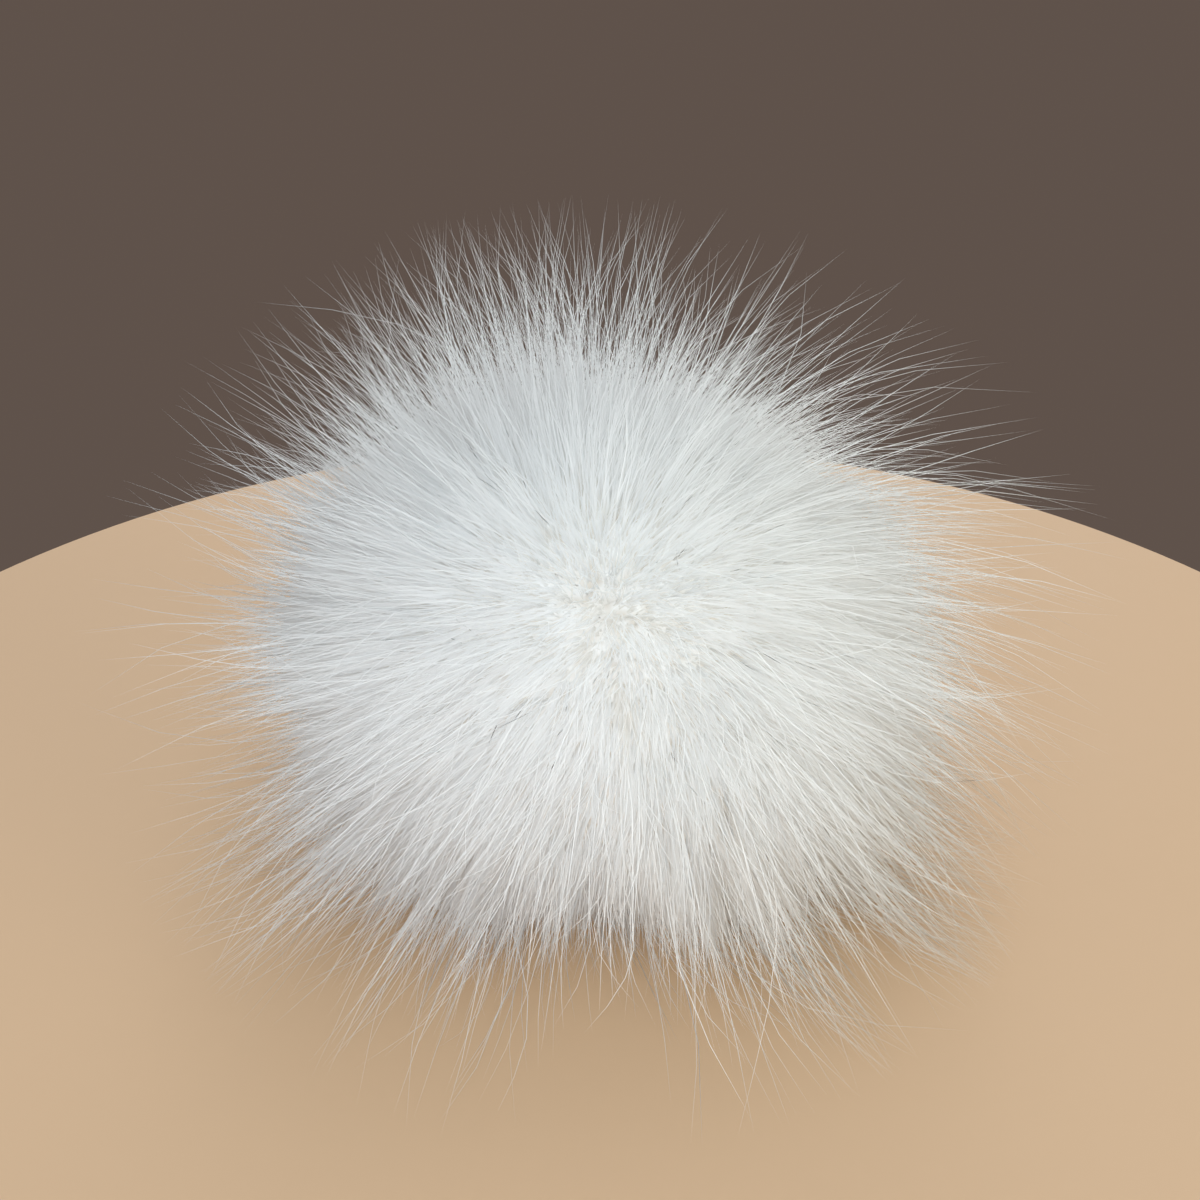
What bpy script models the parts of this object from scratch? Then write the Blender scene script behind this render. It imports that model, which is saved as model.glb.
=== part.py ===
"""Fur pom-pom: one ball of long white fur, standing on its flattened underside.

Lengths are in metres and +Z is up. The origin is the centre of the flat underside.
The dense underfur is a rounded body, and the longer coat stands out of it in pointed locks.
"""

from math import cos, exp, pi, sin, sqrt
from random import Random

import bmesh
import bpy
from mathutils import Vector, noise

# The dense underfur, from which the locks stand out
UNDERFUR_RADIUS = 0.046
UNDERFUR_CENTRE_HEIGHT = 0.045
UNDERFUR_TOP_HEIGHT = 0.078

# The flat underside that the ball stands on
FOOT_RADIUS = 0.026
FOOT_CORNERS = 22

# How far each lock reaches from its root. Most are short and a few are long.
LOCK_LENGTH = 0.0130
LOCK_LENGTH_SPREAD = 0.0050
LONG_LOCK_EXTRA_LENGTH = 0.0165
LONG_LOCK_RARITY = 4.0
TOP_LONG_LOCK_EXTRA_LENGTH = 0.0090

# How far the tip of a lock sways and droops, as shares of the lock's length
LOCK_SWAY = 0.24
LOCK_DROOP = 0.10

# Locks below this height bend and lie out along the floor
SETTLE_HEIGHT = 0.0070
SETTLE_SPREAD = 0.45

# The roots: how many there are, and their jitter and their gap to the foot in root spacings
ROOT_COUNT = 300
ROOT_JITTER = 0.25
ROOT_GAP_TO_FOOT = 0.45
ROOT_SEED = 7

# Each ring of a lock: how far along the lock it lies, and its width as a share of the root
LOCK_RINGS = ((0.32, 0.66), (0.66, 0.34))
LOCK_KNEE = 0.5

# How quickly the lengths and directions of the locks change over the ball
DRIFT_SCALE = 2.3
DRIFT_CHANNEL_STEP = 17.0

FUR_COLOUR = (0.86, 0.87, 0.87, 1.0)
FUR_ROUGHNESS = 0.85

GOLDEN_ANGLE = pi * (3.0 - sqrt(5.0))
UP = Vector((0.0, 0.0, 1.0))
CENTRE = UP * UNDERFUR_CENTRE_HEIGHT


def clear_scene():
    """Removes whatever the scene holds."""
    for obj in list(bpy.data.objects):
        bpy.data.objects.remove(obj)


def level_outward(place):
    """The level direction from the ball's upright axis to a place."""
    return Vector((place.x, place.y, 0.0)).normalized()


def ball_direction(level, turn):
    """The direction on the unit ball at a height and a turn about the upright axis."""
    width = sqrt(1.0 - level * level)
    return Vector((width * cos(turn), width * sin(turn), level))


def foot_level():
    """The height on the unit ball of the circle that becomes the edge of the foot."""
    return -sqrt(1.0 - (FOOT_RADIUS / UNDERFUR_RADIUS) ** 2)


def underfur_point(direction):
    """The point of the underfur's surface that a direction on the unit ball stands for."""
    if direction.z >= 0.0:
        half_height = UNDERFUR_TOP_HEIGHT - UNDERFUR_CENTRE_HEIGHT
    else:
        half_height = UNDERFUR_CENTRE_HEIGHT / -foot_level()
    side = UNDERFUR_RADIUS * Vector((direction.x, direction.y, 0.0))
    return CENTRE + side + UP * half_height * direction.z


def foot_directions():
    """Directions on the unit ball of the corners of the foot."""
    step = 2.0 * pi / FOOT_CORNERS
    return [ball_direction(foot_level(), step * corner) for corner in range(FOOT_CORNERS)]


def root_directions():
    """Directions spread evenly over the unit ball above the foot, each nudged a little."""
    chance = Random(ROOT_SEED)
    spacing = sqrt(4.0 * pi / ROOT_COUNT)
    nudge = ROOT_JITTER * spacing
    lowest = foot_level() + ROOT_GAP_TO_FOOT * spacing
    directions = []
    for index in range(ROOT_COUNT):
        level = 1.0 - (1.0 - lowest) * (index + 0.5) / ROOT_COUNT
        even = ball_direction(level, index * GOLDEN_ANGLE)
        offset = Vector([chance.uniform(-nudge, nudge) for _ in range(3)])
        directions.append((even + offset).normalized())
    return directions


def add_roots(mesh):
    """Covers the unit ball with three-cornered roots and returns them, without the foot."""
    corners = [mesh.verts.new(direction) for direction in root_directions()]
    foot = [mesh.verts.new(direction) for direction in foot_directions()]
    bmesh.ops.convex_hull(mesh, input=corners + foot)
    under = [face for face in mesh.faces if all(vert in foot for vert in face.verts)]
    bmesh.ops.dissolve_faces(mesh, faces=under)
    bmesh.ops.recalc_face_normals(mesh, faces=mesh.faces)
    return [face for face in mesh.faces if len(face.verts) == 3]


def drift(direction, channel):
    """A number from about -1 to 1 that changes slowly over the ball, one for each channel."""
    shift = Vector((channel * DRIFT_CHANNEL_STEP, 0.0, 0.0))
    return 2.0 * noise.noise(direction * DRIFT_SCALE + shift)


def lock_length(direction, chance):
    """How far the lock in this direction reaches from its root: few are long, and more so on top."""
    usual = LOCK_LENGTH + 0.5 * LOCK_LENGTH_SPREAD * drift(direction, 0)
    long_extra = LONG_LOCK_EXTRA_LENGTH + TOP_LONG_LOCK_EXTRA_LENGTH * max(0.0, direction.z)
    return usual + long_extra * chance.random() ** LONG_LOCK_RARITY


def settle(place):
    """Bends what hangs low out along the floor: the lower it would reach, the flatter it lies."""
    if place.z >= SETTLE_HEIGHT:
        return place
    height = SETTLE_HEIGHT * exp(place.z / SETTLE_HEIGHT - 1.0)
    spread = SETTLE_SPREAD * (height - place.z)
    return Vector((place.x, place.y, height)) + level_outward(place) * spread


def grow_lock(mesh, face, direction, length):
    """Draws a root's face out into a lock that narrows ring by ring to a point."""
    corners = [vert.co.copy() for vert in face.verts]
    root = sum(corners, Vector()) / len(corners)
    outward = (root - CENTRE).normalized()
    sway = Vector([drift(direction, channel) for channel in (1, 2, 3)]) * LOCK_SWAY
    lean = sway - UP * LOCK_DROOP
    knee = root + outward * length * LOCK_KNEE
    tip = root + (outward + lean) * length
    for along, width in LOCK_RINGS:
        middle = root.lerp(knee, along).lerp(knee.lerp(tip, along), along)
        face = bmesh.ops.extrude_discrete_faces(mesh, faces=[face])["faces"][0]
        for vert, corner in zip(face.verts, corners):
            vert.co = settle(middle + (corner - root) * width)
    point = bmesh.ops.poke(mesh, faces=[face])["verts"][0]
    point.co = settle(tip)


def fur_material():
    """Soft white fur."""
    material = bpy.data.materials.new("white_fur")
    material.use_nodes = True
    shader = material.node_tree.nodes["Principled BSDF"]
    shader.inputs["Base Color"].default_value = FUR_COLOUR
    shader.inputs["Roughness"].default_value = FUR_ROUGHNESS
    shader.inputs["Metallic"].default_value = 0.0
    return material


def build_pompom():
    """The whole pom-pom as one closed solid."""
    mesh = bmesh.new()
    roots = add_roots(mesh)
    directions = [face.calc_center_median().normalized() for face in roots]
    for vert in mesh.verts:
        vert.co = underfur_point(vert.co)
    chance = Random(ROOT_SEED)
    for face, direction in zip(roots, directions):
        grow_lock(mesh, face, direction, lock_length(direction, chance))
    data = bpy.data.meshes.new("fur_pompom")
    mesh.to_mesh(data)
    mesh.free()
    data.shade_smooth()
    data.materials.append(fur_material())
    pompom = bpy.data.objects.new("fur_pompom", data)
    bpy.context.scene.collection.objects.link(pompom)


clear_scene()
build_pompom()
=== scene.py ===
"""Dresses the fur pom-pom: a soft core and four layers of white fur, strand by strand.

Lengths are in metres, +Z is up and the ball stands on the floor at the origin.
"""
from math import cos, pi, radians, sin, sqrt

import bmesh
import bpy
import numpy as np
from bpy.props import FloatProperty, FloatVectorProperty, IntProperty, PointerProperty
from bpy.types import Operator, Panel, PropertyGroup
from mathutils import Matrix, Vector
from mathutils.kdtree import KDTree


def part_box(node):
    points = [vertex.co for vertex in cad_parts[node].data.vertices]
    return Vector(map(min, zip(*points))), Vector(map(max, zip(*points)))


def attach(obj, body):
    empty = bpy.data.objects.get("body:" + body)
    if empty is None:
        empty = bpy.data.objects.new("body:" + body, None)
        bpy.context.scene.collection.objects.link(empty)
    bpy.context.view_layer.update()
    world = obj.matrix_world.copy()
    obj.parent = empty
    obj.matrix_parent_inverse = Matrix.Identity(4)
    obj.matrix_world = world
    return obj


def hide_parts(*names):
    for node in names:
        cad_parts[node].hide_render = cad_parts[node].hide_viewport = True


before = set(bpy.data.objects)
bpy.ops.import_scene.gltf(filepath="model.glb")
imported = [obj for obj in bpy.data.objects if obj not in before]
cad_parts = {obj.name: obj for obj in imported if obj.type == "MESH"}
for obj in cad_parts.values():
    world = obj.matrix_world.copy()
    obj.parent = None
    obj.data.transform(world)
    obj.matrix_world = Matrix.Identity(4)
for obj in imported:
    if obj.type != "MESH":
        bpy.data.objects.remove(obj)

bl_info = {
    "name": "Fur Pom-Pom",
    "version": (1, 0, 0),
    "blender": (4, 5, 0),
    "location": "3D View > Sidebar > Pom-pom",
    "description": "Grows the coat of a fur pom-pom and sets it on a plain stage",
    "category": "Object",
}

NODE = "fur_pompom"
BODY = "root"
CAD_LOW, CAD_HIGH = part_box(NODE)
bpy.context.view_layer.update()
SIDE_REACH = (CAD_HIGH.x - CAD_LOW.x + CAD_HIGH.y - CAD_LOW.y) / 4.0
TOP_REACH = CAD_HIGH.z

GOLDEN_ANGLE = pi * (3.0 - sqrt(5.0))
UP = np.array((0.0, 0.0, 1.0))

# Shares of the solid's reach that the layers of the ball are set by
CENTRE_SHARE = 0.403
SKIN_SIDE_SHARE = 0.563
SKIN_TOP_SHARE = 0.645

# Where the frame camera stands, seen from the middle of the ball
VIEW_DISTANCE = 0.257
VIEW_ELEVATION = radians(30.3)
VIEW_PITCH = radians(29.5)
LENS_MM = 45.0
SENSOR_MM = 36.0

# The coat's whorl, and how quickly the brushing grows away from it on the unit ball
WHORL_ELEVATION = radians(56.0)
WHORL = np.array((0.0, -cos(WHORL_ELEVATION), sin(WHORL_ELEVATION)))
WHORL_SIZE = 0.32

# Partings as pairs of ends, in degrees sideways from the front and up from level
PARTINGS = (
    ((-8.5, 46.5), (3.0, 45.0)),
    ((3.0, 45.0), (15.0, 39.0)),
    ((3.0, 45.0), (-0.5, 37.0)),
    ((-0.5, 37.0), (-2.0, 33.0)),
    ((4.0, 27.0), (6.0, 16.0)),
)
PARTING_WIDTH = 0.030

# Round this height on the unit ball the coat is longest on its left and right, and short between
SKIRT_LEVEL = -0.58
SKIRT_WIDTH = 0.32
SKIRT_SIDES = 1.45
SKIRT_MIDDLE = -0.30
SKIRT_NARROWNESS = 2.2
LONGEST_HAIR = 0.0442

# The fur below this height on the unit ball is painted darker and darker, as painted shade of the
# ball's own underside
SHADE_LEVEL = -0.50
SHADE_DEPTH = 7.0

# Smooth waves over the unit ball: how quickly each changes, and its seed
FIRMNESS_WAVES = (3.0, 21)
LENGTH_WAVES = (2.6, 3095)
TUFT_LENGTH_WAVES = (40.0, 23)
DRIFT_WAVES = (2.2, 24)

# Seeds of the middles of locks and of tufts, and of each layer's strands
LOCK_SEED = 11
TUFT_SEED = 12
UNDER_SEED = 101
MIDDLE_SEED = 201
GUARD_SEED = 301
STRAY_SEED = 401

# How far roots, and the middles of locks and tufts, are nudged, as a share of their spacing
ROOT_JITTER = 0.45
MIDDLE_JITTER = 0.30

# The rim of a lock or tuft, in radii of a disc that is its equal share of the unit ball
RIM_RADII = 1.25

# How firmly strands gather: halfway through the waves, and how much more or less
FIRMNESS = 0.75
FIRMNESS_SWING = 0.25

# What strands differ by in length, in spreads: slowly over the ball, by tuft, and by chance
SLOW_SHARE = 0.5
TUFT_SHARE = 0.60
CHANCE_MEAN = 0.45
CHANCE_SHIFT = 0.35

# How late towards the top of the ball the lengths grow uneven
TOP_POWER = 1.5

# Strands are longest in the middle of a lock and of a tuft, and shorter towards the rims
MIDDLE_LENGTH = 1.08
LOCK_RIM_LOSS = 0.12
TUFT_RIM_LOSS = 0.18

# The shortest strand, as a share of its layer's middle length
SHORTEST_SHARE = 0.4

# How far whole locks and whole tufts lean, and how much single strands differ in it
LOCK_LEAN = 0.04
TUFT_LEAN = 0.05
STRAND_LEAN = 0.6

# How late along its length a strand gathers, and how late it leans
GATHER_POWER = 1.3
LEAN_POWER = 1.7

# Painted shade at the rims of locks and tufts, where the gaps between them lie in shade, and the
# most that chance darkens a strand by its own tone
LOCK_SHADE = 0.40
TUFT_SHADE = 0.25
STRAND_SHADE = 0.35

# How late a strand tapers, and how pointed it ends
TAPER_LATENESS = 2.2
TAPER_POINT = 0.9

# The thinnest and the thickest strand by chance, as shares of its layer's thickness
THICKNESS_CHANCE = (0.7, 1.3)

# How far the core stands out in the middle of a lock, and how much less it does at the rim
CORE_SWELL = 0.0024
CORE_DENT = 0.0016

# How far the core shows the colour of its skin at the rim of a lock, as partly painted shade in
# the gaps between locks
CORE_BARENESS = 0.7

# The empty rim of each strand's tile in the flat map, as a share of the tile
TILE_MARGIN = 0.1

# The two pieces that each layer but the last is split into
HALVES = ("_upper", "_lower")

# The floor's size, and how far a plain surface's roughness goes up and down
FLOOR_RADIUS = 0.178
ROUGHNESS_SWING = 0.05

# The studio's square lamps, all turned to the ball: place, size, power and colour
LAMPS = {
    "low_front": ((-0.30, -0.95, 0.30), 0.60, 3.00, (1.0, 0.92, 0.89)),
    "high_front": ((0.00, -0.70, 0.75), 0.60, 2.85, (0.66, 0.90, 1.0)),
    "right": ((0.80, -0.50, 0.35), 0.60, 2.25, (1.0, 0.90, 0.66)),
    "rear": ((0.10, 1.00, 0.35), 0.60, 2.8, (1.0, 1.0, 1.0)),
    "top": ((0.15, 0.25, 0.75), 0.20, 0.5, (1.0, 1.0, 1.0)),
}
ROOM_LIGHT = 0.62


def length_value(name, text, default):
    """A size that a user can set, in metres."""
    return FloatProperty(name=name, description=text, default=default, min=0.0, unit="LENGTH")


def share_value(name, text, default):
    """A share from none to all that a user can set."""
    return FloatProperty(
        name=name, description=text, default=default, min=0.0, max=1.0, subtype="FACTOR"
    )


def colour_value(name, text, default):
    """A colour that a user can set."""
    return FloatVectorProperty(
        name=name, description=text, default=default, size=3, min=0.0, max=1.0, subtype="COLOR"
    )


def layer_values(
    count, points, length, spread, wildness, thickness, pinch, tuft_pull, lean, curl
):
    """The settings of one layer of the coat, with this layer's own defaults."""
    return {
        "count": IntProperty(
            name="Strands", description="How many strands the layer has", default=count, min=1
        ),
        "points": IntProperty(
            name="Points", description="Points along each strand", default=points, min=3
        ),
        "length": length_value("Length", "Middle length of a strand from the skin", length),
        "spread": length_value("Length spread", "How much the lengths differ", spread),
        "wildness": share_value(
            "Wildness", "How much more lengths differ on top and low on the sides", wildness
        ),
        "thickness": length_value("Thickness", "Width of a strand at its root", thickness),
        "pinch": share_value("Pinch", "How far strands draw together into locks", pinch),
        "tuft_pull": share_value("Tuft pull", "How far locks draw together into tufts", tuft_pull),
        "lean": share_value("Lean", "How far single strands lean out of line", lean),
        "curl": share_value("Curl", "How far strands bend sideways along their length", curl),
    }


class PompomShape(PropertyGroup):
    """The ball under the coat, and how the coat meets the floor."""

    centre_height: length_value(
        "Centre height", "Height of the ball's middle over the floor", TOP_REACH * CENTRE_SHARE
    )
    skin_radius: length_value(
        "Skin radius", "Level radius of the skin that the fur grows from",
        SIDE_REACH * SKIN_SIDE_SHARE,
    )
    skin_top: length_value(
        "Skin top", "Height of the top of the skin over the floor", TOP_REACH * SKIN_TOP_SHARE
    )
    skin_bottom: length_value(
        "Skin bottom", "Height of the underside of the skin over the floor", 0.0015
    )
    settle_height: length_value(
        "Settle height", "Fur below this height bends out along the floor", 0.0100
    )
    settle_spread: share_value(
        "Settle spread", "How much of the drop the fur spreads outwards by", 0.60
    )


class PompomCombing(PropertyGroup):
    """How the strands gather and drift over the whole ball."""

    locks: IntProperty(
        name="Locks", description="Small locks that strands draw together into", default=5200
    )
    tufts: IntProperty(
        name="Tufts", description="Larger tufts that locks draw together into", default=1000
    )
    drift: share_value("Drift", "How far the coat drifts to one side and another", 0.22)
    brushed: share_value("Brushed", "How far the coat is brushed away from its whorl", 0.66)
    parting: share_value("Parting", "How far strands lean away from a parting", 0.10)
    bareness: share_value("Bareness", "How far a parting shows the fur's roots", 0.80)
    droop: share_value("Droop", "How far strands hang under their own weight", 0.04)
    skirt: share_value("Skirt", "How much longer the coat is low on its left and right", 0.54)
    softness: share_value("Softness", "How far shading follows the ball, not the strand", 0.88)
    glow: share_value("Glow", "How far the long hairs catch the light from above", 0.38)


class UnderCoat(PropertyGroup):
    """Short dense fur that fills the ball."""

    __annotations__ = layer_values(
        count=24000, points=3, length=0.0104, spread=0.0040, wildness=0.0,
        thickness=0.00040, pinch=0.35, tuft_pull=0.10, lean=0.10, curl=0.03,
    )


class MiddleCoat(PropertyGroup):
    """The main coat, drawn together into locks."""

    __annotations__ = layer_values(
        count=24000, points=4, length=0.0123, spread=0.0072, wildness=0.20,
        thickness=0.00023, pinch=0.62, tuft_pull=0.28, lean=0.07, curl=0.04,
    )


class GuardHairs(PropertyGroup):
    """Long fine hairs that stand out of the coat."""

    __annotations__ = layer_values(
        count=14000, points=5, length=0.0165, spread=0.0122, wildness=1.00,
        thickness=0.00014, pinch=0.50, tuft_pull=0.42, lean=0.13, curl=0.07,
    )


class StrayHairs(PropertyGroup):
    """Single hairs that reach well past the rest."""

    __annotations__ = layer_values(
        count=420, points=7, length=0.0270, spread=0.0060, wildness=0.80,
        thickness=0.00014, pinch=0.15, tuft_pull=0.15, lean=0.36, curl=0.14,
    )


class PompomColours(PropertyGroup):
    """Colours of the fur and the stage."""

    tip: colour_value("Tip", "Fur at the tips of the strands", (0.95, 0.955, 0.955))
    # The root colour is the fur's own warmer tone at the skin, and its darkness is also painted
    # shade of the deep coat
    root: colour_value("Root", "Fur at the skin, seen in the partings", (0.86, 0.83, 0.78))
    # The skin colour is the felt's own tone, darkened as well as painted shade under the fur
    skin: colour_value("Skin", "Felted skin under the fur", (0.78, 0.70, 0.60))
    floor: colour_value("Floor", "Plain floor", (0.605, 0.415, 0.262))
    backdrop: colour_value("Backdrop", "Plain backdrop", (0.115, 0.085, 0.07))


def pompom():
    """All settings of the scene."""
    return bpy.context.scene.pompom


def evenly(count, jitter, chance):
    """Directions spread evenly over a ball from top to bottom, each nudged a little."""
    index = np.arange(count)
    level = 1.0 - 2.0 * (index + 0.5) / count
    width = np.sqrt(1.0 - level * level)
    turn = index * GOLDEN_ANGLE
    even = np.stack((width * np.cos(turn), width * np.sin(turn), level), axis=1)
    nudge = jitter * sqrt(4.0 * pi / count)
    return unit(even + chance.normal(0.0, nudge, even.shape))


def unit(vectors):
    """The vectors at length one."""
    return vectors / np.linalg.norm(vectors, axis=-1, keepdims=True)


def front_direction(sideways, up):
    """The direction from the ball's middle at this many degrees sideways and up."""
    turn, rise = radians(sideways), radians(up)
    return np.array((sin(turn) * cos(rise), -cos(turn) * cos(rise), sin(rise)))


def drift_field(places, scale, seed, waves=7):
    """Three smooth numbers for each place, mostly within 1.5 of zero, from crossing waves."""
    chance = np.random.default_rng(seed)
    heading = unit(chance.normal(size=(3, waves, 3))) * scale
    phase = chance.uniform(0.0, 2.0 * pi, (3, waves))
    turns = np.einsum("nk,cwk->ncw", places, heading) + phase
    return np.sin(turns).sum(axis=2) / sqrt(waves)


def nearest(directions, centres):
    """For each direction, the number of the centre that lies nearest."""
    tree = KDTree(len(centres))
    for number, centre in enumerate(centres):
        tree.insert(centre, number)
    tree.balance()
    return np.array([tree.find(direction)[1] for direction in directions])


def skin_points(directions):
    """Points on the skin that the fur grows from, for directions from the ball's middle."""
    shape = pompom().shape
    up = shape.skin_top - shape.centre_height
    down = shape.centre_height - shape.skin_bottom
    points = directions * shape.skin_radius
    points[..., 2] = directions[..., 2] * np.where(directions[..., 2] > 0.0, up, down)
    points[..., 2] += shape.centre_height
    return points


def settle(points):
    """Bends what hangs low out along the floor: the lower it would reach, the flatter it lies."""
    shape = pompom().shape
    edge = shape.settle_height
    free = points[..., 2]
    height = np.where(free < edge, edge * np.exp(free / edge - 1.0), free)
    outward = points.copy()
    outward[..., 2] = 0.0
    outward /= np.maximum(np.linalg.norm(outward, axis=-1, keepdims=True), 1e-6)
    spread = shape.settle_spread * (height - free)
    settled = points + outward * spread[..., None]
    settled[..., 2] = height
    return settled


def gathered(directions, count, seed):
    """For each direction the middle of its lock or tuft, that lock's random lean, and its edge.

    The edge runs from 0 at the middle of a lock to about 1 at its rim.
    """
    chance = np.random.default_rng(seed)
    centres = evenly(count, MIDDLE_JITTER, chance)
    lean = chance.normal(0.0, 1.0, centres.shape)
    own = nearest(directions, centres)
    gap = np.linalg.norm(directions - centres[own], axis=1)
    return centres[own], lean[own], np.clip(gap / sqrt(4.0 / count) / RIM_RADII, 0.0, 1.0)


def brushed_away(roots):
    """How the coat leans away from the whorl, on the whorl's own side of the ball."""
    facing = np.clip(roots @ WHORL, 0.0, 1.0)[:, None]
    away = facing * roots - WHORL
    return away * facing / (WHORL_SIZE + np.linalg.norm(away, axis=1, keepdims=True))


def parted(roots):
    """How strands beside a parting lean away from it, and from 0 to 1 how near they stand."""
    lean = np.zeros_like(roots)
    near = np.zeros(len(roots))
    for start, end in PARTINGS:
        first, last = front_direction(*start), front_direction(*end)
        run = last - first
        share = np.clip((roots - first) @ run / (run @ run), 0.0, 1.0)[:, None]
        offset = roots - first - share * run
        gap = np.linalg.norm(offset, axis=1, keepdims=True)
        beside = np.exp(-(gap / PARTING_WIDTH) ** 2)
        lean += offset / np.maximum(gap, 1e-6) * beside
        near = np.maximum(near, beside[:, 0])
    return lean, near


def across(vectors, roots):
    """What is left of the vectors across the roots' own directions."""
    return vectors - np.sum(vectors * roots, axis=1, keepdims=True) * roots


def comb(layer, seed):
    """Paths of one layer's strands, how dark each is painted, and how far it shows its root's
    colour.

    Strands between locks and low on the ball are painted darker as painted shade, chance darkens
    each strand a little by its own tone, and strands in a parting show their roots.
    """
    combing = pompom().combing
    chance = np.random.default_rng(seed)
    roots = evenly(layer.count, ROOT_JITTER, chance)
    lock, lock_lean, lock_edge = gathered(roots, combing.locks, LOCK_SEED)
    tuft, tuft_lean, tuft_edge = gathered(lock, combing.tufts, TUFT_SEED)
    along = np.linspace(0.0, 1.0, layer.points)[None, :, None]

    firmness = FIRMNESS + FIRMNESS_SWING * drift_field(roots, *FIRMNESS_WAVES)[:, :1]
    pinch = (layer.pinch * firmness)[:, None, :]
    pull = (layer.tuft_pull * firmness)[:, None, :]
    gathering = along ** GATHER_POWER
    heading = roots[:, None, :] + (lock - roots)[:, None, :] * pinch * gathering
    heading = unit(heading + (tuft - lock)[:, None, :] * pull * gathering)

    slow = SLOW_SHARE * drift_field(roots, *LENGTH_WAVES)[:, 0]
    tuft_length = TUFT_SHARE * drift_field(tuft, *TUFT_LENGTH_WAVES)[:, 0]
    quick = chance.exponential(CHANCE_MEAN, layer.count) - CHANCE_SHIFT
    high = np.clip(roots[:, 2], 0.0, 1.0) ** TOP_POWER
    low = SKIRT_MIDDLE + SKIRT_SIDES * np.minimum(1.0, SKIRT_NARROWNESS * np.abs(roots[:, 0]))
    low *= np.exp(-((roots[:, 2] - SKIRT_LEVEL) / SKIRT_WIDTH) ** 2)
    uneven = 1.0 + layer.wildness * (high + low)
    usual = layer.length * (1.0 + combing.skirt * low)
    length = usual + layer.spread * uneven * (slow + tuft_length + quick)
    length *= MIDDLE_LENGTH - LOCK_RIM_LOSS * lock_edge ** 2 - TUFT_RIM_LOSS * tuft_edge ** 2
    length = np.clip(length, SHORTEST_SHARE * layer.length, LONGEST_HAIR)[:, None, None]

    sideways = combing.drift * drift_field(roots, *DRIFT_WAVES)
    sideways += LOCK_LEAN * lock_lean + TUFT_LEAN * tuft_lean
    sideways += layer.lean * chance.normal(0.0, STRAND_LEAN, roots.shape)
    parting_lean, near = parted(roots)
    sideways += combing.brushed * brushed_away(roots) + combing.parting * parting_lean
    sideways = across(sideways, roots)
    bend = across(layer.curl * chance.normal(0.0, 1.0, roots.shape), roots)

    points = skin_points(heading) + heading * length * along
    points += sideways[:, None, :] * length * along ** LEAN_POWER
    points += bend[:, None, :] * length * np.sin(pi * along)
    points -= UP * combing.droop * length * along ** 2
    # Painted shade at the rims of locks and tufts; chance then darkens each strand a little by its
    # own tone
    shade = LOCK_SHADE * lock_edge ** 2 + TUFT_SHADE * tuft_edge ** 2
    shade += chance.uniform(0.0, STRAND_SHADE, layer.count)
    # Painted shade on the ball's underside
    shade += SHADE_DEPTH * np.clip(SHADE_LEVEL - roots[:, 2], 0.0, 1.0)
    return settle(points), shade, combing.bareness * near


def strand_rings(paths, thickness, chance):
    """Corners of each strand: a three-cornered ring at each point but the last, and the tip."""
    count, points, _ = paths.shape
    tangent = unit(np.gradient(paths, axis=1))
    side = unit(np.cross(tangent, unit(chance.normal(size=(count, 1, 3)))))
    other = np.cross(tangent, side)
    along = np.linspace(0.0, 1.0, points)[:-1]
    radius = 0.5 * thickness * (1.0 - along ** TAPER_LATENESS) ** TAPER_POINT
    radius = radius[None, :, None] * chance.uniform(*THICKNESS_CHANCE, (count, 1, 1))
    rings = []
    for corner in range(3):
        turn = 2.0 * pi * corner / 3.0
        spoke = cos(turn) * side[:, :-1] + sin(turn) * other[:, :-1]
        rings.append(paths[:, :-1] + radius * spoke)
    ringed = np.stack(rings, axis=2).reshape(count, -1, 3)
    return np.concatenate((ringed, paths[:, -1:]), axis=1)


def strand_faces(points):
    """Faces of one strand as lists of its corners, the root closed and the tip pointed."""
    faces = [(2, 1, 0)]
    for ring in range(points - 2):
        for corner in range(3):
            after = (corner + 1) % 3
            low, high = 3 * ring, 3 * (ring + 1)
            faces.append((low + corner, low + after, high + after, high + corner))
    last, tip = 3 * (points - 2), 3 * (points - 1)
    faces += [(last + corner, last + (corner + 1) % 3, tip) for corner in range(3)]
    return faces


def strand_map(points):
    """Where each corner of one strand's faces lies in the strand's own tile of the flat map."""
    high = [ring / (points - 1) for ring in range(points)]
    places = [(0.0, 0.0), (1 / 3, 0.0), (2 / 3, 0.0)]
    for ring in range(points - 2):
        for corner in range(3):
            left, right = corner / 3, (corner + 1) / 3
            places += [(left, high[ring]), (right, high[ring])]
            places += [(right, high[ring + 1]), (left, high[ring + 1])]
    for corner in range(3):
        places += [(corner / 3, high[-2]), ((corner + 1) / 3, high[-2]), ((corner + 0.5) / 3, 1.0)]
    return np.array(places)


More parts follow.
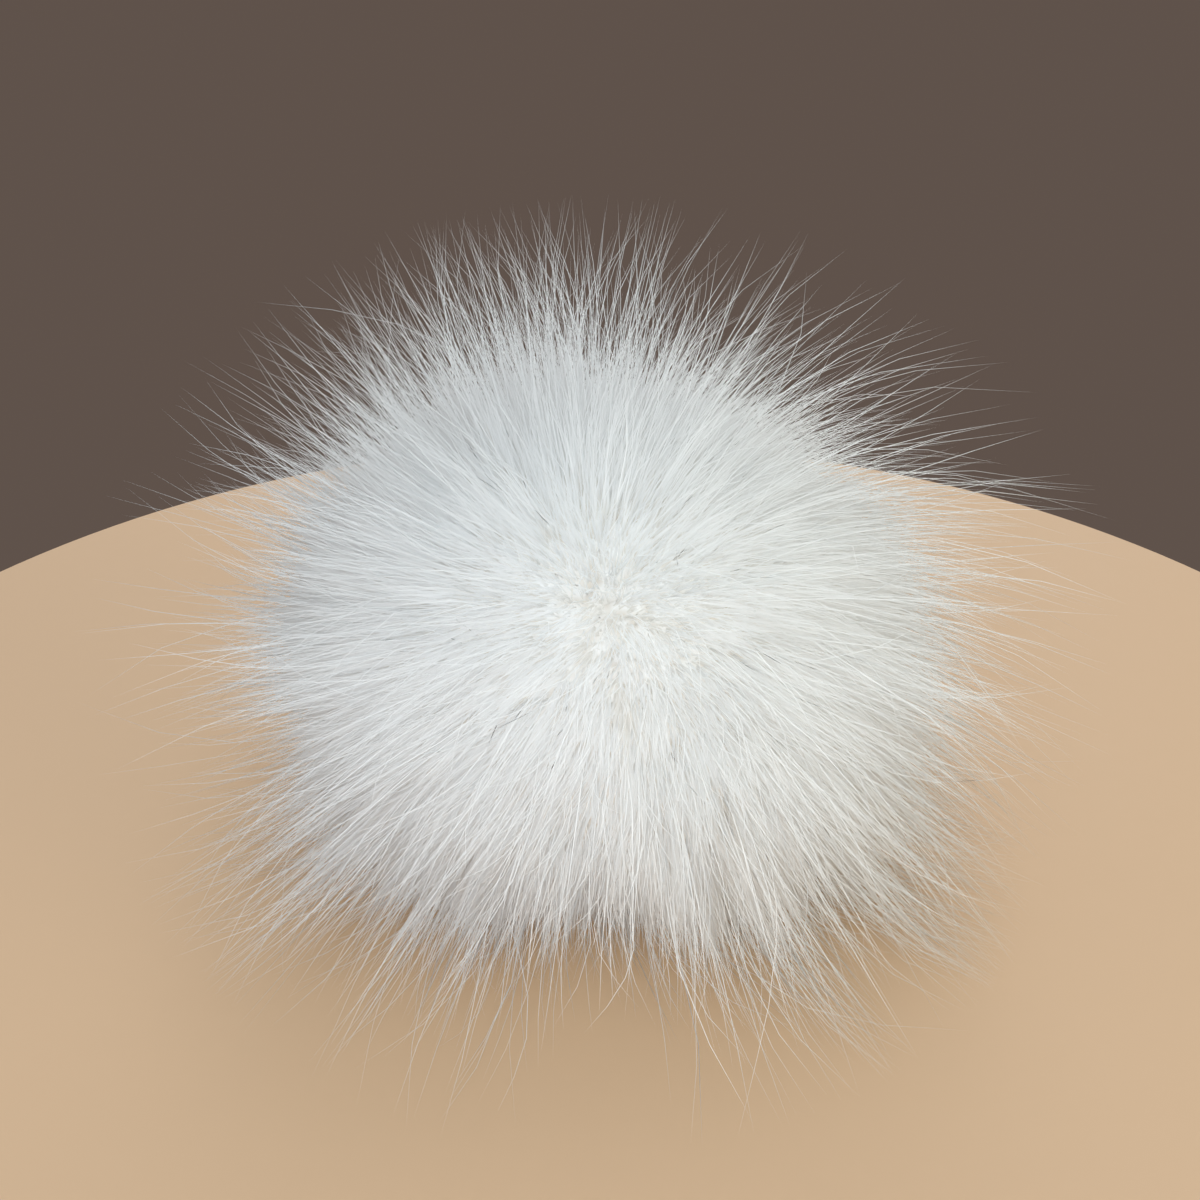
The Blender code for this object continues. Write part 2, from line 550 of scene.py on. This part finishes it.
def build_strands(name, paths, painted_shade_and_tone, bare, thickness, glow, seed):
    """One mesh object of all these strands, with each point's place along its strand."""
    count, points, _ = paths.shape
    corners = strand_rings(paths, thickness, np.random.default_rng(seed))
    each = corners.shape[1]
    faces = strand_faces(points)
    loops = np.concatenate([np.array(face) for face in faces])
    totals = np.array([len(face) for face in faces])
    first = each * np.arange(count)[:, None]
    data = bpy.data.meshes.new(name)
    data.vertices.add(count * each)
    data.vertices.foreach_set("co", corners.astype(np.float32).ravel())
    data.loops.add(count * len(loops))
    data.loops.foreach_set("vertex_index", (first + loops).astype(np.int32).ravel())
    starts = np.concatenate(([0], np.cumsum(np.tile(totals, count))[:-1]))
    data.polygons.add(count * len(faces))
    data.polygons.foreach_set("loop_start", starts.astype(np.int32))
    data.update(calc_edges=True)
    along = np.append(np.repeat(np.linspace(0.0, 1.0, points)[:-1], 3), 1.0)
    add_numbers(data, "along", np.outer(1.0 - bare, along).ravel())
    add_numbers(data, "painted_shade_and_tone", np.repeat(painted_shade_and_tone, each))
    add_tiles(data, count, strand_map(points))
    data.shade_smooth()
    soften_normals(data, corners.reshape(-1, 3), glow)
    obj = bpy.data.objects.new(name, data)
    bpy.context.scene.collection.objects.link(obj)
    return obj


def soften_normals(data, places, glow):
    """Turns the strands' normals towards the ball's own, as light that scatters in fur looks.

    The more the strands glow, the more their normals also turn up to the light.
    """
    softness = pompom().combing.softness
    own = np.empty(places.size)
    data.vertices.foreach_get("normal", own)
    outward = unit(unit(places - UP * pompom().shape.centre_height) + glow * UP)
    mixed = unit(softness * outward + (1.0 - softness) * own.reshape(-1, 3))
    data.normals_split_custom_set_from_vertices(mixed.tolist())


def add_numbers(data, name, values):
    """Stores one number for each corner point of a mesh."""
    layer = data.attributes.new(name, "FLOAT", "POINT")
    layer.data.foreach_set("value", values.astype(np.float32))


def add_tiles(data, count, places):
    """A flat map in which each strand has a tile of its own."""
    side = int(np.ceil(sqrt(count)))
    number = np.arange(count)
    corner = np.stack((number % side, number // side), axis=1)[:, None, :]
    layer = data.uv_layers.new(name="OFBake")
    inset = TILE_MARGIN + (1.0 - 2.0 * TILE_MARGIN) * places
    layer.data.foreach_set("uv", ((corner + inset) / side).astype(np.float32).ravel())


def add_socket(group, name, kind, default=None, out=False):
    """A named input or output of a shader node group."""
    way = "OUTPUT" if out else "INPUT"
    socket = group.interface.new_socket(name=name, in_out=way, socket_type=kind)
    if default is not None:
        socket.default_value = default


def fur_tone_group():
    """Colour and roughness of fur from its place along the strand and its painted shade and own
    tone.
    """
    name = "Fur Tone"
    if name in bpy.data.node_groups:
        return bpy.data.node_groups[name]
    group = bpy.data.node_groups.new(name, "ShaderNodeTree")
    add_socket(group, "Root Colour", "NodeSocketColor")
    add_socket(group, "Tip Colour", "NodeSocketColor")
    add_socket(group, "Root Reach", "NodeSocketFloat", 0.5)
    add_socket(group, "Variation", "NodeSocketFloat", 0.1)
    add_socket(group, "Colour", "NodeSocketColor", out=True)
    add_socket(group, "Roughness", "NodeSocketFloat", out=True)
    nodes, links = group.nodes, group.links
    given = nodes.new("NodeGroupInput")
    result = nodes.new("NodeGroupOutput")
    along = nodes.new("ShaderNodeAttribute")
    along.attribute_name = "along"
    painted_shade_and_tone = nodes.new("ShaderNodeAttribute")
    painted_shade_and_tone.attribute_name = "painted_shade_and_tone"
    rise = nodes.new("ShaderNodeMapRange")
    rise.interpolation_type = "SMOOTHSTEP"
    links.new(along.outputs["Fac"], rise.inputs["Value"])
    links.new(given.outputs["Root Reach"], rise.inputs["From Max"])
    blend = nodes.new("ShaderNodeMix")
    blend.data_type = "RGBA"
    links.new(rise.outputs["Result"], blend.inputs["Factor"])
    links.new(given.outputs["Root Colour"], blend.inputs["A"])
    links.new(given.outputs["Tip Colour"], blend.inputs["B"])
    # Painted shade: the colour is darkened by the painted shade and chance tone that each point
    # holds
    shade = nodes.new("ShaderNodeMath")
    shade.operation = "MULTIPLY"
    links.new(painted_shade_and_tone.outputs["Fac"], shade.inputs[0])
    links.new(given.outputs["Variation"], shade.inputs[1])
    keep = nodes.new("ShaderNodeMath")
    keep.operation = "SUBTRACT"
    keep.inputs[0].default_value = 1.0
    links.new(shade.outputs[0], keep.inputs[1])
    darken = nodes.new("ShaderNodeVectorMath")
    darken.operation = "SCALE"
    links.new(blend.outputs["Result"], darken.inputs["Vector"])
    links.new(keep.outputs[0], darken.inputs["Scale"])
    links.new(darken.outputs["Vector"], result.inputs["Colour"])
    rough = nodes.new("ShaderNodeMapRange")
    rough.inputs["To Min"].default_value = 0.45
    rough.inputs["To Max"].default_value = 0.65
    links.new(painted_shade_and_tone.outputs["Fac"], rough.inputs["Value"])
    links.new(rough.outputs["Result"], result.inputs["Roughness"])
    return group


def strand_material(name, root_reach, variation, root=None):
    """White fur strands, darker in painted shade and by chance, and warmer at the root."""
    colours = pompom().colours
    material = bpy.data.materials.new(name)
    material.use_nodes = True
    nodes, links = material.node_tree.nodes, material.node_tree.links
    shader = nodes["Principled BSDF"]
    shader.inputs["Specular IOR Level"].default_value = 0.20
    tone = nodes.new("ShaderNodeGroup")
    tone.node_tree = fur_tone_group()
    # The root colour is partly the fur's own tone and partly painted shade of the deep coat
    tone.inputs["Root Colour"].default_value = (*(root or colours.root), 1.0)
    tone.inputs["Tip Colour"].default_value = (*colours.tip, 1.0)
    tone.inputs["Root Reach"].default_value = root_reach
    tone.inputs["Variation"].default_value = variation
    links.new(tone.outputs["Colour"], shader.inputs["Base Color"])
    links.new(tone.outputs["Roughness"], shader.inputs["Roughness"])
    return material


def grow_layer(name, layer, seed, parts, material, free=False):
    """Grows one layer of the coat, split from top to bottom into its parts.

    Light sinks into white fur and scatters on, so the dense layers cast no shadow and neither
    block nor bounce soft light. Long hairs stand free of the rest: they do all three, and
    catch the light from above.
    """
    glow = pompom().combing.glow if free else 0.0
    shares = [np.array_split(values, len(parts)) for values in comb(layer, seed)]
    for number, (part, paths, painted_shade_and_tone, bare) in enumerate(zip(parts, *shares)):
        obj = build_strands(name + part, paths, painted_shade_and_tone, bare, layer.thickness, glow, seed + number)
        obj.data.materials.append(material)
        obj.visible_shadow = free
        obj.visible_diffuse = free
        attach(obj, BODY)


class POMPOM_OT_core(Operator):
    """Builds the soft core of the ball, which stands for the solid"""

    bl_idname = "pompom.core"
    bl_label = "Fur core"

    def execute(self, context):
        mesh = bmesh.new()
        bmesh.ops.create_icosphere(mesh, subdivisions=6, radius=1.0)
        data = bpy.data.meshes.new("fur_core")
        mesh.to_mesh(data)
        mesh.free()
        directions = np.empty(len(data.vertices) * 3)
        data.vertices.foreach_get("co", directions)
        directions = unit(directions.reshape(-1, 3))
        _, _, edge = gathered(directions, pompom().combing.locks, LOCK_SEED)
        swell = CORE_SWELL - CORE_DENT * edge[:, None]
        points = settle(skin_points(directions) + directions * swell)
        data.vertices.foreach_set("co", points.astype(np.float32).ravel())
        # At the rims of locks the core turns to its skin colour and is darkened further: painted
        # shade in the gaps between locks
        add_numbers(data, "along", 1.0 - CORE_BARENESS * edge)
        add_numbers(data, "painted_shade_and_tone", edge)
        data.shade_smooth()
        core = bpy.data.objects.new("fur_core", data)
        context.scene.collection.objects.link(core)
        skin = pompom().colours.skin
        material = strand_material("core_fur", root_reach=1.0, variation=0.1, root=skin)
        data.materials.append(material)
        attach(core, BODY)
        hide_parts(NODE)
        return {"FINISHED"}


class POMPOM_OT_under_coat(Operator):
    """Grows the short dense fur that fills the ball"""

    bl_idname = "pompom.under_coat"
    bl_label = "Under coat"

    def execute(self, context):
        material = strand_material("under_fur", root_reach=0.6, variation=0.10)
        grow_layer("under_coat", pompom().under_coat, UNDER_SEED, HALVES, material)
        return {"FINISHED"}


class POMPOM_OT_middle_coat(Operator):
    """Grows the main coat, drawn together into locks"""

    bl_idname = "pompom.middle_coat"
    bl_label = "Middle coat"

    def execute(self, context):
        material = strand_material("coat_fur", root_reach=0.45, variation=0.08)
        grow_layer("middle_coat", pompom().middle_coat, MIDDLE_SEED, HALVES, material)
        return {"FINISHED"}


class POMPOM_OT_guard_hairs(Operator):
    """Grows the long fine hairs that stand out of the coat"""

    bl_idname = "pompom.guard_hairs"
    bl_label = "Guard hairs"

    def execute(self, context):
        material = strand_material("guard_hair", root_reach=0.3, variation=0.05)
        grow_layer("guard_hairs", pompom().guard_hairs, GUARD_SEED, HALVES, material, free=True)
        return {"FINISHED"}


class POMPOM_OT_stray_hairs(Operator):
    """Grows single hairs that reach well past the rest"""

    bl_idname = "pompom.stray_hairs"
    bl_label = "Stray hairs"

    def execute(self, context):
        material = strand_material("stray_hair", root_reach=0.2, variation=0.05)
        grow_layer("stray_hairs", pompom().stray_hairs, STRAY_SEED, ("",), material, free=True)
        return {"FINISHED"}


def plain_material(name, colour, roughness):
    """A plain matt surface whose roughness is faintly uneven."""
    material = bpy.data.materials.new(name)
    material.use_nodes = True
    nodes, links = material.node_tree.nodes, material.node_tree.links
    shader = nodes["Principled BSDF"]
    shader.inputs["Base Color"].default_value = (*colour, 1.0)
    noise = nodes.new("ShaderNodeTexNoise")
    noise.inputs["Scale"].default_value = 60.0
    rough = nodes.new("ShaderNodeMapRange")
    rough.inputs["To Min"].default_value = roughness - ROUGHNESS_SWING
    rough.inputs["To Max"].default_value = roughness + ROUGHNESS_SWING
    links.new(noise.outputs["Fac"], rough.inputs["Value"])
    links.new(rough.outputs["Result"], shader.inputs["Roughness"])
    return material


def add_floor(colour):
    """A plain round table top."""
    mesh = bmesh.new()
    bmesh.ops.create_circle(mesh, cap_ends=True, segments=160, radius=FLOOR_RADIUS)
    data = bpy.data.meshes.new("floor")
    mesh.to_mesh(data)
    mesh.free()
    data.materials.append(plain_material("floor", colour, roughness=0.7))
    floor = bpy.data.objects.new("floor", data)
    bpy.context.scene.collection.objects.link(floor)


def add_backdrop(colour):
    """A backdrop that the camera sees, and the soft white room light that everything else sees."""
    world = bpy.data.worlds.new("studio")
    world.use_nodes = True
    nodes, links = world.node_tree.nodes, world.node_tree.links
    seen = nodes["Background"]
    seen.inputs["Color"].default_value = (*colour, 1.0)
    lit = nodes.new("ShaderNodeBackground")
    lit.inputs["Color"].default_value = (1.0, 1.0, 1.0, 1.0)
    lit.inputs["Strength"].default_value = ROOM_LIGHT
    path = nodes.new("ShaderNodeLightPath")
    mix = nodes.new("ShaderNodeMixShader")
    links.new(path.outputs["Is Camera Ray"], mix.inputs["Fac"])
    links.new(lit.outputs["Background"], mix.inputs[1])
    links.new(seen.outputs["Background"], mix.inputs[2])
    links.new(mix.outputs["Shader"], nodes["World Output"].inputs["Surface"])
    bpy.context.scene.world = world


def add_lamp(name, target, place, size, power, colour):
    """A square soft lamp that points at a target and isn't seen itself."""
    data = bpy.data.lights.new(name, "AREA")
    data.size = size
    data.energy = power
    data.color = colour
    lamp = bpy.data.objects.new(name, data)
    lamp.location = place
    lamp.rotation_euler = (Vector(target) - Vector(place)).to_track_quat("-Z", "Y").to_euler()
    lamp.visible_camera = False
    bpy.context.scene.collection.objects.link(lamp)


def add_camera(centre):
    """The camera at the photograph's viewing angle."""
    data = bpy.data.cameras.new("camera")
    data.lens = LENS_MM
    data.sensor_width = SENSOR_MM
    data.clip_start = 0.01
    camera = bpy.data.objects.new("camera", data)
    towards = Vector((0.0, -cos(VIEW_ELEVATION), sin(VIEW_ELEVATION)))
    camera.location = centre + VIEW_DISTANCE * towards
    camera.rotation_euler = (pi / 2.0 - VIEW_PITCH, 0.0, 0.0)
    bpy.context.scene.collection.objects.link(camera)
    bpy.context.scene.camera = camera


class POMPOM_OT_stage(Operator):
    """Sets the floor, the backdrop, the lamps and the camera"""

    bl_idname = "pompom.stage"
    bl_label = "Stage"

    def execute(self, context):
        colours = pompom().colours
        centre = Vector((0.0, 0.0, pompom().shape.centre_height))
        add_floor(colours.floor)
        add_backdrop(colours.backdrop)
        for name, values in LAMPS.items():
            add_lamp(name, centre, *values)
        add_camera(centre)
        context.scene.view_settings.view_transform = "Standard"
        return {"FINISHED"}


class POMPOM_PT_panel(Panel):
    """Lists the steps that make the pom-pom"""

    bl_label = "Fur Pom-Pom"
    bl_idname = "POMPOM_PT_panel"
    bl_space_type = "VIEW_3D"
    bl_region_type = "UI"
    bl_category = "Pom-pom"

    def draw(self, context):
        for step in STEPS:
            self.layout.operator(step.bl_idname)


class PompomSettings(PropertyGroup):
    """All settings of the pom-pom."""

    shape: PointerProperty(type=PompomShape)
    combing: PointerProperty(type=PompomCombing)
    under_coat: PointerProperty(type=UnderCoat)
    middle_coat: PointerProperty(type=MiddleCoat)
    guard_hairs: PointerProperty(type=GuardHairs)
    stray_hairs: PointerProperty(type=StrayHairs)
    colours: PointerProperty(type=PompomColours)


GROUPS = (
    PompomShape, PompomCombing, UnderCoat, MiddleCoat, GuardHairs, StrayHairs, PompomColours,
    PompomSettings,
)
STEPS = (
    POMPOM_OT_stage, POMPOM_OT_core, POMPOM_OT_under_coat, POMPOM_OT_middle_coat,
    POMPOM_OT_guard_hairs, POMPOM_OT_stray_hairs,
)


def register():
    """Makes the settings, the operators and the panel known to Blender."""
    for item in (*GROUPS, *STEPS, POMPOM_PT_panel):
        bpy.utils.register_class(item)
    bpy.types.Scene.pompom = PointerProperty(type=PompomSettings)


def unregister():
    """Takes the settings, the operators and the panel out again."""
    del bpy.types.Scene.pompom
    for item in reversed((*GROUPS, *STEPS, POMPOM_PT_panel)):
        bpy.utils.unregister_class(item)


def main():
    """Makes the whole scene."""
    register()
    bpy.ops.pompom.stage()
    bpy.ops.pompom.core()
    bpy.ops.pompom.under_coat()
    bpy.ops.pompom.middle_coat()
    bpy.ops.pompom.guard_hairs()
    bpy.ops.pompom.stray_hairs()


if __name__ == "__main__":
    main()
